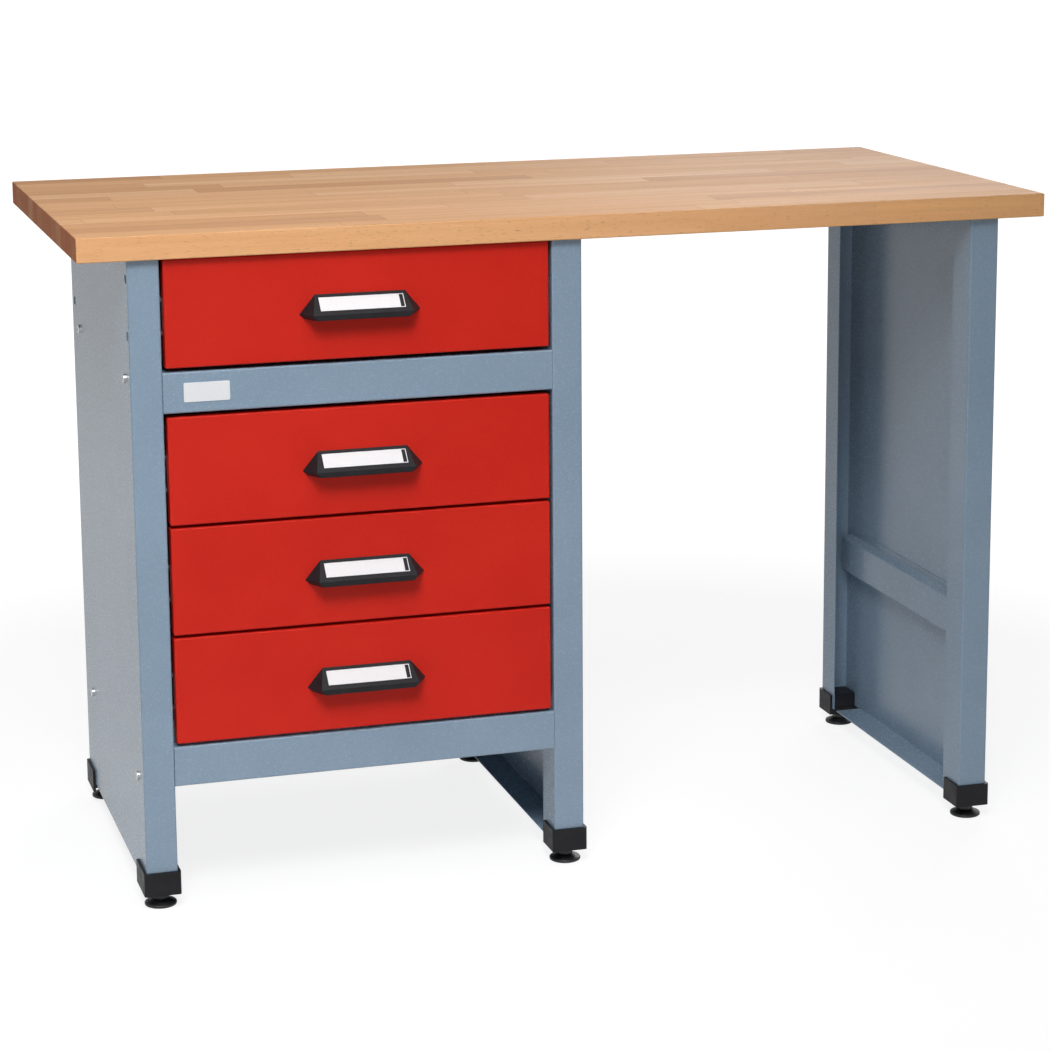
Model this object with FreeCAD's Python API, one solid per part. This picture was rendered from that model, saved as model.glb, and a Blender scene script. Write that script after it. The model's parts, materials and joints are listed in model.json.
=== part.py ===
import FreeCAD, Part
import math
import os

V = FreeCAD.Vector

# Workbench with a cabinet of four drawers under its left half and a knee space under its right half.
# Millimetres. X runs to the right, the front faces -Y, Z is up. The origin lies on the floor under
# the middle of the worktop.

# Overall
bench_width = 1250.0
bench_depth = 600.0
bench_height = 840.0
worktop_thickness = 30.0
worktop_arris = 1.5

# Folded steel side panels
end_overhang = 60.0
frame_depth = 475.0
cabinet_width = 565.0
front_overhang = 9.0
leg_width = 39.0
leg_base = 28.0
sheet = 1.5
bend_radius = 2.5
front_lip = 50.0
rear_lip = 45.0
fold_height = 10.0
flange_front_setback = 42.0
flange_rear_setback = 57.0
top_flange_width = 30.0
relief_diameter = 6.0
slot_width = 12.0
slot_height = 10.5
slot_front_setback = 11.0
slot_rear_setback = 24.5
front_slot_drop = 24.0
rear_slot_drop = 47.0
slot_spacing = 69.0

# Sheet welded to the rear legs of the cabinet
back_sheet = 1.0
back_side_gap = 2.0
back_top_gap = 4.0
back_drop = 95.0
back_corner_radius = 6.0

# Hat-shaped stiffener on the inside of each panel
stiffener_rise = 15.0
stiffener_height = 72.0
stiffener_crown = 46.0
stiffener_flange = 9.0
stiffener_depth = 15.0
stiffener_end_gap = 18.0

# Crossbars of the cabinet and the rail behind the knee space
bar_height = 50.0
lower_bar_base = 156.0
front_bar_depth = 25.0
rear_bar_depth = 12.0
front_tab_depth = 48.0
rear_tab_depth = 38.0
rear_bar_gap = 0.5
front_bolt_setback = 37.0
rear_bolt_setback = 19.0
upper_bolt_inset = 10.0
lower_bolt_inset = 7.0
rail_drop = 15.0
rail_depth = 25.0
rail_tab_depth = 35.0
rail_setback = 1.0
rail_bolt_setback = 12.0
rail_bolt_spacing = 24.0

# Drawer fronts, folded as shallow pans with lips behind
lower_drawer_count = 3
top_front_height = 131.5
top_drawer_gap = 1.5
drawer_gap = 4.0
bar_gap = 5.0
front_pan_depth = 18.0
front_sheet = 1.2
front_edge_radius = 2.0
front_back_lip = 20.0

# Drawer boxes
box_rise = 8.0
box_headroom = 18.0
box_wall = 1.0
box_rim = 8.0
box_rear_setback = 19.0

# Telescopic slides
slide_thickness = 13.0
slide_height = 45.0
slide_sheet = 1.2
slide_bend = 1.5
slide_gap = 0.3
outer_slide_depth = 10.0
middle_slide_depth = 9.5
slide_front_setback = 20.0
slide_rear_setback = 5.0
rivet_diameter = 5.0
rivet_head_diameter = 9.0
rivet_head_height = 1.2
rivet_inset = 15.0

# Handles with a label card
handle_rise = 51.0
handle_height = 29.5
handle_depth = 22.0
handle_top_width = 112.0
handle_tip_width = 151.0
handle_foot_width = 138.0
handle_lip_width = 126.0
handle_tip_rise = 6.0
handle_lip_height = 7.0
handle_wall = 2.5
handle_edge_radius = 1.5
handle_boss_diameter = 8.0
handle_boss_spacing = 90.0
handle_boss_rise = 19.0
label_width = 109.0
label_height = 19.5
label_lift = 0.7
label_thickness = 0.5
label_clearance = 0.5
label_recess = 0.8

# Foot caps and levelling feet
cap_base = 18.5
cap_top = 48.0
cap_wall = 3.5
cap_block_depth = 40.0
cap_front_cheek = 58.0
cap_rear_cheek = 54.0
cap_plug_depth = 38.0
cap_plug_clearance = 0.3
stud_diameter = 10.0
stud_top = 44.0
stud_setback = 20.0
stud_bore_spare = 2.0
pad_diameter = 40.0
pad_edge = 4.0
pad_height = 9.0
pad_chamfer = 1.0
foot_hex = 17.0
foot_hex_height = 5.0

# Fasteners
bolt_diameter = 6.0
bolt_head_diameter = 11.5
bolt_head_height = 3.3
bolt_head_radius = 1.2
bolt_socket = 4.0
bolt_socket_depth = 1.8
nut_across_flats = 10.0
nut_height = 5.0
bolt_tail = 3.0
bolt_clearance = 0.25
wood_screw_diameter = 4.5
wood_screw_depth = 20.0
wood_screw_head_diameter = 9.0
wood_screw_head_height = 3.0
wood_screw_setback = 17.0
wood_screw_shares = (0.08, 0.5, 0.92)
handle_screw_diameter = 4.0
handle_screw_head_diameter = 7.5
handle_screw_head_height = 2.5
handle_screw_depth = 6.0
press_clearance = 0.05
shaft_clearance = 0.08
overrun = 2.0

# Places that follow from the sizes above
top_underside = bench_height - worktop_thickness
front_y = front_overhang - bench_depth / 2
rear_y = front_y + frame_depth
left_x = end_overhang - bench_width / 2
middle_x = left_x + cabinet_width
right_x = bench_width / 2 - end_overhang
opening_left = left_x + leg_width
opening_right = middle_x - leg_width
drawer_x = (opening_left + opening_right) / 2
top_drawer_base = top_underside - top_drawer_gap - top_front_height
upper_bar_base = top_drawer_base - bar_gap - bar_height
lower_bar_top = lower_bar_base + bar_height
drawer_step = (upper_bar_base - bar_gap - lower_bar_top) / lower_drawer_count
front_height = drawer_step - drawer_gap
bottom_drawer_base = lower_bar_top + drawer_gap
third_drawer_base = bottom_drawer_base + drawer_step
second_drawer_base = third_drawer_base + drawer_step
upper_bolt_z = upper_bar_base + bar_height - upper_bolt_inset
lower_bolt_z = lower_bar_base + lower_bolt_inset
stiffener_base = lower_bar_top + stiffener_rise
front_bolt_y = front_y + front_bolt_setback
rear_bar_y = rear_y - rear_lip - rear_bar_gap
rear_bolt_y = rear_bar_y - rear_bolt_setback
rail_y = rear_y - rail_setback
rail_base = top_underside - rail_drop - bar_height
rail_bolt_y = rail_y - rail_bolt_setback
slide_front_y = front_y + slide_front_setback
slide_rear_y = rear_y - slide_rear_setback
box_front_y = front_y + front_pan_depth
box_rear_y = rear_y - box_rear_setback
box_width = opening_right - opening_left - 2 * slide_thickness
front_width = opening_right - opening_left - 2 * drawer_gap

# Each panel: the outer face of its sheet and the way its legs open
panels = {"left": (left_x, 1), "middle": (middle_x, -1), "right": (right_x, -1)}

# Each drawer: the lower edge of its front and the front's height
drawers = {
    "top": (top_drawer_base, top_front_height),
    "second": (second_drawer_base, front_height),
    "third": (third_drawer_base, front_height),
    "bottom": (bottom_drawer_base, front_height),
}


def unit(vector):
    """The same direction with a length of one."""
    return V(vector).normalize()


def rounded_outline(points, radii):
    """Closed wire through the points, each corner rounded by its own radius."""
    starts = []
    ends = []
    edges = []
    for index, (corner, radius) in enumerate(zip(points, radii)):
        back = unit(points[index - 1] - corner)
        ahead = unit(points[(index + 1) % len(points)] - corner)
        half = back.getAngle(ahead) / 2
        reach = radius / math.tan(half)
        starts.append(corner + back * reach)
        ends.append(corner + ahead * reach)
        if radius > 0:
            middle = corner + unit(back + ahead) * (radius / math.sin(half) - radius)
            edges.append(Part.Arc(starts[-1], middle, ends[-1]).toShape())
    for index in range(len(points)):
        edges.append(Part.LineSegment(ends[index - 1], starts[index]).toShape())
    return Part.Wire(Part.__sortEdges__(edges))


def folded_strip(points, normal, sweep, thickness, radius):
    """Sheet folded along the points of one face, with its thickness on the left of their path."""
    face_points = list(points)
    back_points = []
    face_radii = []
    back_radii = []
    ways = [unit(after - before) for before, after in zip(points, points[1:])]
    for index, point in enumerate(points):
        before = ways[max(index - 1, 0)]
        after = ways[min(index, len(ways) - 1)]
        side_before = normal.cross(before)
        side_after = normal.cross(after)
        mitre = (side_before + side_after) * (thickness / (1 + side_before.dot(side_after)))
        back_points.append(point + mitre)
        turn = before.cross(after).dot(normal)
        at_end = index in (0, len(points) - 1)
        face_radii.append(0 if at_end else radius if turn > 0 else radius - thickness)
        back_radii.append(0 if at_end else radius - thickness if turn > 0 else radius)
    outline = face_points + back_points[::-1]
    return Part.Face(rounded_outline(outline, face_radii + back_radii[::-1])).extrude(sweep)


def block(low, high):
    """Box between two opposite corners given in any order."""
    corner = V(min(low.x, high.x), min(low.y, high.y), min(low.z, high.z))
    size = V(abs(high.x - low.x), abs(high.y - low.y), abs(high.z - low.z))
    return Part.makeBox(size.x, size.y, size.z, corner)


def placed(shape, place, direction):
    """Shape made on the Z axis, turned to another direction and set at its place."""
    shape.Placement = FreeCAD.Placement(place, FreeCAD.Rotation(V(0, 0, 1), direction))
    return shape


def rod(place, direction, diameter, length):
    """Round bar, or the cutter of a round hole."""
    return Part.makeCylinder(diameter / 2, length, place, direction)


def through_hole(centre, direction, diameter, depth):
    """Cutter of a hole that starts an overrun before its place and ends one past its depth."""
    return rod(centre - direction * overrun, direction, diameter, depth + 2 * overrun)


def hexagon(across_flats, length):
    """Six-sided bar on the Z axis."""
    corner = across_flats / math.sqrt(3)
    turns = [math.radians(60 * step) for step in range(7)]
    outline = [V(corner * math.cos(turn), corner * math.sin(turn), 0) for turn in turns]
    return Part.Face(Part.makePolygon(outline)).extrude(V(0, 0, length))


def turned(profile):
    """Solid of revolution about Z from radius and height pairs."""
    points = [V(radius, 0, height) for radius, height in profile]
    return Part.Face(Part.makePolygon(points + points[:1])).revolve(V(0, 0, 0), V(0, 0, 1), 360)


def button_bolt(place, direction, length):
    """Round-headed bolt whose head bears on the place and whose shank points along the direction."""
    head = rod(V(0, 0, -bolt_head_height), V(0, 0, 1), bolt_head_diameter, bolt_head_height)
    top_edge = [edge for edge in head.Edges if edge.BoundBox.ZMax < -bolt_head_height / 2]
    head = head.makeFillet(bolt_head_radius, top_edge)
    socket = hexagon(bolt_socket, bolt_socket_depth + overrun)
    socket.translate(V(0, 0, -bolt_head_height - overrun))
    bolt = head.fuse(rod(V(0, 0, 0), V(0, 0, 1), bolt_diameter, length)).cut(socket)
    return placed(bolt, place, direction)


def nut(place, direction):
    """Hexagon nut that bears on the place and grows along the direction."""
    bore = rod(V(0, 0, -overrun), V(0, 0, 1), bolt_diameter + 2 * press_clearance, nut_height + 2 * overrun)
    return placed(hexagon(nut_across_flats, nut_height).cut(bore), place, direction)


def pan_screw(place, direction, diameter, length, head_diameter, head_height):
    """Screw with a plain round head that bears on the place."""
    head = rod(V(0, 0, -head_height), V(0, 0, 1), head_diameter, head_height)
    return placed(head.fuse(rod(V(0, 0, 0), V(0, 0, 1), diameter, length)), place, direction)


def save(name, shapes):
    """Write one node from one solid or from a group of separate solids."""
    shape = shapes[0] if len(shapes) == 1 else Part.makeCompound(shapes)
    shape.exportStep("parts/" + name + ".step")


def bolt_heights():
    """Heights of the bolts that hold the lower and upper crossbars."""
    return (lower_bolt_z, upper_bolt_z)


def rail_bolt_heights():
    """Heights of the two bolts at each end of the knee space rail."""
    middle = rail_base + bar_height / 2
    return (middle - rail_bolt_spacing / 2, middle + rail_bolt_spacing / 2)


def slide_middle(base, height):
    """Height of the middle of a drawer's slides, level with the middle of its box."""
    return base + (box_rise + height - box_headroom) / 2


def slide_heights():
    """Height of the middle of every slide."""
    return [slide_middle(base, height) for base, height in drawers.values()]


def rivet_places():
    """Depths of the front and rear rivet of a slide."""
    return (slide_front_y + rivet_inset, slide_rear_y - rivet_inset)


def wood_screw_places(face_x, side):
    """Points under a panel's top flange where the worktop's screws bear."""
    low = front_y + flange_front_setback
    span = frame_depth - flange_front_setback - flange_rear_setback
    x = face_x + side * wood_screw_setback
    return [V(x, low + span * share, top_underside - sheet) for share in wood_screw_shares]


def worktop():
    """Board with eased arrises and pilot holes for its screws."""
    low = V(-bench_width / 2, -bench_depth / 2, top_underside)
    board = block(low, V(bench_width / 2, bench_depth / 2, bench_height))
    board = board.makeFillet(worktop_arris, board.Edges)
    for face_x, side in panels.values():
        for place in wood_screw_places(face_x, side):
            diameter = wood_screw_diameter + 2 * press_clearance
            board = board.cut(rod(place, V(0, 0, 1), diameter, wood_screw_depth + sheet))
    return board


def edge_fold(face_x, side, edge_z, up, width):
    """Flange folded in along a panel's lower or upper edge, with the strip of sheet that it bends from."""
    low_y = front_y + flange_front_setback
    high_y = rear_y - flange_rear_setback
    path = [
        V(face_x, low_y, edge_z + up * fold_height),
        V(face_x, low_y, edge_z),
        V(face_x + side * width, low_y, edge_z),
    ]
    return folded_strip(path, V(0, -side * up, 0), V(0, high_y - low_y, 0), sheet, bend_radius)


def panel_holes(name, face_x, side):
    """Cutters of every hole that a panel has for bolts, rivets, screws and hooks."""
    across = V(side, 0, 0)
    hole = bolt_diameter + 2 * bolt_clearance
    rivet_hole = rivet_diameter + 2 * press_clearance
    lip_x = face_x + side * (leg_width - sheet)
    sheet_start = V(face_x, 0, 0)
    cutters = []
    if name != "right":
        for z in bolt_heights():
            cutters.append(through_hole(sheet_start + V(0, front_bolt_y, z), across, hole, leg_width))
            cutters.append(through_hole(sheet_start + V(0, rear_bolt_y, z), across, hole, sheet))
        for z in slide_heights():
            for y in rivet_places():
                cutters.append(through_hole(V(lip_x, y, z), across, rivet_hole, sheet))
        for y, drop in (
            (front_y + slot_front_setback, front_slot_drop),
            (rear_y - slot_rear_setback, rear_slot_drop),
        ):
            for z in (top_underside - drop, top_underside - drop - slot_spacing):
                low = V(face_x - side * overrun, y - slot_width / 2, z - slot_height / 2)
                high = V(face_x + side * (sheet + overrun), y + slot_width / 2, z + slot_height / 2)
                cutters.append(block(low, high))
    if name != "left":
        start_x = face_x if name == "middle" else lip_x
        for z in rail_bolt_heights():
            cutters.append(through_hole(V(start_x, rail_bolt_y, z), across, hole, sheet))
    for place in wood_screw_places(face_x, side):
        cutters.append(through_hole(place, V(0, 0, 1), wood_screw_diameter + 2 * press_clearance, sheet))
    relief_y = rear_y - flange_rear_setback
    cutters.append(through_hole(V(face_x, relief_y, leg_base), across, relief_diameter, sheet))
    return cutters


def side_panel(name):
    """Sheet with both leg channels folded from it and a flange along its lower and upper edges."""
    face_x, side = panels[name]
    lip_x = face_x + side * leg_width
    path = [
        V(lip_x, front_y + front_lip, leg_base),
        V(lip_x, front_y, leg_base),
        V(face_x, front_y, leg_base),
        V(face_x, rear_y, leg_base),
        V(lip_x, rear_y, leg_base),
        V(lip_x, rear_y - rear_lip, leg_base),
    ]
    rise = V(0, 0, top_underside - leg_base)
    panel = folded_strip(path, V(0, 0, -side), rise, sheet, bend_radius)
    for edge_z, up, width in ((leg_base, 1, leg_width), (top_underside, -1, top_flange_width)):
        low = V(face_x - side * overrun, front_y + flange_front_setback, edge_z - up * overrun)
        high = V(face_x + side * (sheet + overrun), rear_y - flange_rear_setback, edge_z + up * fold_height)
        panel = panel.cut(block(low, high)).fuse(edge_fold(face_x, side, edge_z, up, width))
    return panel.cut(panel_holes(name, face_x, side)).removeSplitter()


def stiffener(name):
    """Hat-shaped rail welded across the inside of a panel."""
    face_x, side = panels[name]
    inner_x = face_x + side * sheet
    crown_x = inner_x + side * (stiffener_depth - sheet)
    low_y = front_y + stiffener_end_gap
    top = stiffener_base + stiffener_height
    crown_top = stiffener_base + (stiffener_height + stiffener_crown) / 2
    crown_base = crown_top - stiffener_crown
    path = [
        V(inner_x, low_y, top),
        V(inner_x, low_y, top - stiffener_flange),
        V(crown_x, low_y, crown_top),
        V(crown_x, low_y, crown_base),
        V(inner_x, low_y, stiffener_base + stiffener_flange),
        V(inner_x, low_y, stiffener_base),
    ]
    sweep = V(0, frame_depth - 2 * stiffener_end_gap, 0)
    return folded_strip(path, V(0, -side, 0), sweep, sheet, bend_radius)


def channel_bar(low_x, high_x, base, face_y, inward, depth):
    """Channel along X whose web stands at face_y and whose flanges point inward."""
    path = [
        V(low_x, face_y + inward * depth, base + bar_height),
        V(low_x, face_y, base + bar_height),
        V(low_x, face_y, base),
        V(low_x, face_y + inward * depth, base),
    ]
    return folded_strip(path, V(inward, 0, 0), V(high_x - low_x, 0, 0), sheet, bend_radius)


def tabbed_bar(low_x, high_x, base, face_y, inward, depth, tab_depth, bolt_y, heights):
    """Channel bar closed at both ends by a tab with bolt holes."""
    bar = channel_bar(low_x, high_x, base, face_y, inward, depth)
    for end_x, way in ((low_x, 1), (high_x, -1)):
        near = V(end_x, face_y + inward * bend_radius, base)
        far = V(end_x + way * sheet, face_y + inward * tab_depth, base + bar_height)
        bar = bar.fuse(block(near, far))
        for z in heights:
            hole = bolt_diameter + 2 * bolt_clearance
            bar = bar.cut(through_hole(V(end_x, bolt_y, z), V(way, 0, 0), hole, sheet))
    return bar.removeSplitter()


def front_crossbar(base, bolt_z):
    """Crossbar between the front legs of the cabinet, flush with their faces."""
    return tabbed_bar(
        opening_left, opening_right, base, front_y, 1, front_bar_depth, front_tab_depth,
        front_bolt_y, (bolt_z,),
    )


def rear_crossbar(base, bolt_z):
    """Crossbar from sheet to sheet of the cabinet, in front of the rear lips."""
    low_x = left_x + sheet
    high_x = middle_x - sheet
    return tabbed_bar(
        low_x, high_x, base, rear_bar_y, -1, rear_bar_depth, rear_tab_depth, rear_bolt_y, (bolt_z,)
    )


def knee_space_rail():
    """Rail behind the knee space, from the middle panel's sheet to the right panel's rear lip."""
    high_x = right_x - leg_width
    return tabbed_bar(
        middle_x, high_x, rail_base, rail_y, -1, rail_depth, rail_tab_depth, rail_bolt_y, rail_bolt_heights()
    )


def back_panel():
    """Sheet that closes the back of the cabinet, from under the lower crossbar up to the worktop."""
    near = V(left_x + back_side_gap, rear_y, lower_bar_base - back_drop)
    far = V(middle_x - back_side_gap, rear_y + back_sheet, top_underside - back_top_gap)
    panel = block(near, far)
    corners = [edge for edge in panel.Edges if edge.BoundBox.YLength > back_sheet / 2]
    return panel.makeFillet(back_corner_radius, corners)


def crossbar_bolts():
    """Every bolt of the crossbars and the rail, each with its nut."""
    pieces = []
    front_grip = leg_width + sheet
    rear_grip = 2 * sheet
    tail = nut_height + bolt_tail
    for name in ("left", "middle"):
        face_x, side = panels[name]
        across = V(side, 0, 0)
        for z in bolt_heights():
            for y, grip in ((front_bolt_y, front_grip), (rear_bolt_y, rear_grip)):
                start = V(face_x, y, z)
                pieces.append(button_bolt(start, across, grip + tail))
                pieces.append(nut(start + across * grip, across))
    for start_x, way in ((middle_x + sheet, -1), (right_x - leg_width - sheet, 1)):
        across = V(way, 0, 0)
        for z in rail_bolt_heights():
            start = V(start_x, rail_bolt_y, z)
            pieces.append(button_bolt(start, across, rear_grip + tail))
            pieces.append(nut(start + across * rear_grip, across))
    return pieces


def worktop_screws():
    """Screws up through the top flanges into the worktop."""
    pieces = []
    for face_x, side in panels.values():
        for place in wood_screw_places(face_x, side):
            length = wood_screw_depth + sheet - press_clearance
            pieces.append(pan_screw(
                place, V(0, 0, 1), wood_screw_diameter, length,
                wood_screw_head_diameter, wood_screw_head_height,
            ))
    return pieces


def slide_rivets():
    """Rivets that hold the cabinet members of the slides on the lips, flush inside the member."""
    pieces = []
    for lip_x, side in ((opening_left, 1), (opening_right, -1)):
        for z in slide_heights():
            for y in rivet_places():
                start = V(lip_x - side * sheet, y, z)
                pieces.append(pan_screw(
                    start, V(side, 0, 0), rivet_diameter, sheet + slide_sheet,
                    rivet_head_diameter, rivet_head_height,
                ))
    return pieces


def slide_channel(lip_x, side, web, rim, height, middle_z):
    """Channel along Y with its web at one distance from the lip and its flange rims at another."""
    web_x = lip_x + side * web
    rim_x = lip_x + side * rim
    path = [
        V(rim_x, slide_front_y, middle_z + height / 2),
        V(web_x, slide_front_y, middle_z + height / 2),
        V(web_x, slide_front_y, middle_z - height / 2),
        V(rim_x, slide_front_y, middle_z - height / 2),
    ]
    normal = V(0, side if rim < web else -side, 0)
    return folded_strip(path, normal, V(0, slide_rear_y - slide_front_y, 0), slide_sheet, slide_bend)


def slide_members(middle_z):
    """Cabinet, intermediate and drawer members of both slides of one drawer."""
    outer = []
    middle = []
    inner = []
    step = slide_sheet + slide_gap
    for lip_x, side in ((opening_left, 1), (opening_right, -1)):
        channel = slide_channel(lip_x, side, 0, outer_slide_depth, slide_height, middle_z)
        for y in rivet_places():
            hole = rivet_diameter + 2 * press_clearance
            channel = channel.cut(through_hole(V(lip_x, y, middle_z), V(side, 0, 0), hole, slide_sheet))
        outer.append(channel)
        middle_rim = step + middle_slide_depth
        middle.append(slide_channel(lip_x, side, step, middle_rim, slide_height - 2 * step, middle_z))
        inner_height = slide_height - 4 * step
        inner.append(slide_channel(lip_x, side, slide_thickness, 2 * step, inner_height, middle_z))
    return outer, middle, inner


def drawer_front(base, height):
    """Pan with eased front edges, a lip round its open back and holes for the handle's screws."""
    low = V(drawer_x - front_width / 2, front_y, base)
    high = low + V(front_width, front_pan_depth, height)
    pan = block(low, high)
    eased = [edge for edge in pan.Edges if edge.BoundBox.YMin < front_y + front_pan_depth / 2]
    pan = pan.makeFillet(front_edge_radius, eased)
    wall = V(front_sheet, front_sheet, front_sheet)
    pan = pan.cut(block(low + wall, high - wall))
    lip = V(front_back_lip, 0, front_back_lip)
    window_low = V(low.x, high.y - front_sheet - overrun, low.z) + lip
    pan = pan.cut(block(window_low, high - lip + V(0, overrun, 0)))
    for place in handle_screw_places(base):
        hole = handle_screw_diameter + 2 * press_clearance
        pan = pan.cut(rod(place + V(0, overrun, 0), V(0, -1, 0), hole, front_sheet + 2 * overrun))
    return pan


def drawer_box(base, height):
    """Open tray with a rim folded in along its sides and back."""
    low = V(drawer_x - box_width / 2, box_front_y, base + box_rise)
    high = V(drawer_x + box_width / 2, box_rear_y, base + height - box_headroom)
    wall = V(box_wall, box_wall, box_wall)
    cavity = block(low + wall, high - wall)
    mouth_low = V(low.x + box_rim, low.y + box_wall, high.z - box_wall - overrun)
    mouth_high = V(high.x - box_rim, high.y - box_rim, high.z + overrun)
    return block(low, high).cut(cavity.fuse(block(mouth_low, mouth_high)))


def handle_screw_places(base):
    """Points inside the front's sheet where the two handle screws bear."""
    z = base + handle_rise + handle_boss_rise
    offsets = (-handle_boss_spacing / 2, handle_boss_spacing / 2)
    return [V(drawer_x + offset, front_y + front_sheet, z) for offset in offsets]


def trim(shape, point, outward, reach):
    """Cut away what lies outside a plane."""
    cutter = Part.makeBox(reach, reach, reach, V(-reach / 2, -reach / 2, 0))
    return shape.cut(placed(cutter, point, outward))


def hood(base, inset, room):
    """Convex body of a handle, or its hollow when inset by the wall and given room below and behind."""
    foot_z = base + handle_rise
    half_tip = handle_tip_width / 2
    low = V(drawer_x - half_tip, front_y - handle_depth + inset, foot_z - room)
    body = block(low, V(drawer_x + half_tip, front_y + room, foot_z + handle_height))
    reach = 2 * handle_tip_width
    ridge = V(drawer_x, front_y, foot_z + handle_height)
    slope = unit(V(0, handle_lip_height - handle_height, handle_depth))
    body = trim(body, ridge - slope * inset, slope, reach)
    for side in (-1, 1):
        tip = V(drawer_x + side * half_tip, front_y, foot_z + handle_tip_rise)
        top = V(drawer_x + side * handle_top_width / 2, front_y, foot_z + handle_height)
        foot = V(drawer_x + side * handle_foot_width / 2, front_y, foot_z)
        lip = V(drawer_x + side * handle_lip_width / 2, front_y - handle_depth, foot_z + handle_tip_rise)
        upper = unit((top - tip).cross(lip - tip) * side)
        lower = unit((lip - tip).cross(foot - tip) * side)
        for outward in (upper, lower):
            body = trim(body, tip - outward * inset, outward, reach)
    return body


def label_frame(base):
    """Middle of the label on the handle's sloping face, and the turn that lays a plate on it."""
    foot_z = base + handle_rise
    middle = V(drawer_x, front_y - handle_depth / 2, foot_z + (handle_height + handle_lip_height) / 2)
    slope = unit(V(0, handle_lip_height - handle_height, handle_depth))
    upward = slope.cross(V(1, 0, 0))
    turn = FreeCAD.Rotation(V(1, 0, 0), upward, slope, "XYZ")
    return middle + upward * label_lift, turn


def label_plate(base, width, height, low, high):
    """Plate that lies on the handle's sloping face between two depths measured outward."""
    middle, turn = label_frame(base)
    plate = Part.makeBox(width, height, high - low, V(-width / 2, -height / 2, low))
    plate.Placement = FreeCAD.Placement(middle, turn)
    return plate


def handle(base):
    """Hollow hood, open below, with two screw bosses and a recess for the label."""
    outer = hood(base, 0, 0)
    eased = [edge for edge in outer.Edges if edge.BoundBox.YMin < front_y - handle_depth / 2
             or (edge.BoundBox.YLength > handle_depth / 2)]
    outer = outer.makeFillet(handle_edge_radius, eased)
    shell = outer.cut(hood(base, handle_wall, overrun))
    for place in handle_screw_places(base):
        start = V(place.x, front_y, place.z)
        boss = rod(start, V(0, -1, 0), handle_boss_diameter, handle_depth)
        shell = shell.fuse(boss.common(outer))
    recess_width = label_width + 2 * label_clearance
    recess_height = label_height + 2 * label_clearance
    shell = shell.cut(label_plate(base, recess_width, recess_height, -label_recess, overrun))
    for place in handle_screw_places(base):
        hole = handle_screw_diameter + 2 * press_clearance
        depth = front_sheet + handle_screw_depth
        shell = shell.cut(rod(place, V(0, -1, 0), hole, depth))
    return shell.removeSplitter()


def label_card(base):
    """Card on the floor of the handle's recess."""
    return label_plate(base, label_width, label_height, -label_recess, label_thickness - label_recess)


def handle_screws(base):
    """The two screws of one handle."""
    length = front_sheet + handle_screw_depth - press_clearance
    return [
        pan_screw(
            place, V(0, -1, 0), handle_screw_diameter, length,
            handle_screw_head_diameter, handle_screw_head_height,
        )
        for place in handle_screw_places(base)
    ]


def stud_place(name, end):
    """Floor point under the middle of a leg end."""
    face_x, side = panels[name]
    end_y = front_y if end == "front" else rear_y
    inward = 1 if end == "front" else -1
    return V(face_x + side * leg_width / 2, end_y + inward * stud_setback, 0)


def foot_cap(name, end):
    """Shoe under a leg end: block, three walls round the leg and a plug inside it with the stud's bore."""
    face_x, side = panels[name]
    end_y = front_y if end == "front" else rear_y
    inward = 1 if end == "front" else -1
    cheek = cap_front_cheek if end == "front" else cap_rear_cheek

    def part(low, high):
        """Box from distances across the leg, in from its end and up."""
        corners = [V(face_x + side * u, end_y + inward * w, z) for u, w, z in (low, high)]
        return block(*corners)

    far_side = leg_width + cap_wall
    shoe = part((-cap_wall, -cap_wall, cap_base), (far_side, cap_block_depth, cap_top))
    shoe = shoe.fuse(part((-cap_wall, -cap_wall, cap_base), (0, cheek, cap_top)))
    shoe = shoe.cut(part((0, 0, leg_base), (leg_width, cheek + overrun, cap_top + overrun)))
    skin = sheet + cap_plug_clearance
    plug = part((skin, skin, leg_base), (leg_width - skin, cap_plug_depth, cap_top))
    upright = [edge for edge in plug.Edges if edge.BoundBox.ZLength > (cap_top - leg_base) / 2]
    plug = plug.makeFillet(bend_radius, upright)
    bore_start = stud_place(name, end) + V(0, 0, cap_base - overrun)
    bore_depth = stud_top + stud_bore_spare - cap_base + overrun
    bore = rod(bore_start, V(0, 0, 1), stud_diameter + 2 * shaft_clearance, bore_depth)
    return shoe.fuse(plug).cut(bore).removeSplitter()


def levelling_foot(name, end):
    """Round pad with a low cone, a hexagon to turn it by and a stud up into the cap."""
    rim = pad_diameter / 2
    pad = turned([
        (0, 0),
        (rim - pad_chamfer, 0),
        (rim, pad_chamfer),
        (rim, pad_edge),
        (foot_hex / 2, pad_height),
        (0, pad_height),
    ])
    hexagonal = hexagon(foot_hex, foot_hex_height)
    hexagonal.translate(V(0, 0, pad_height))
    stud = rod(V(0, 0, pad_height), V(0, 0, 1), stud_diameter, stud_top - pad_height)
    foot = pad.fuse(hexagonal).fuse(stud).removeSplitter()
    foot.translate(stud_place(name, end))
    return foot


os.makedirs("parts", exist_ok=True)

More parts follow.
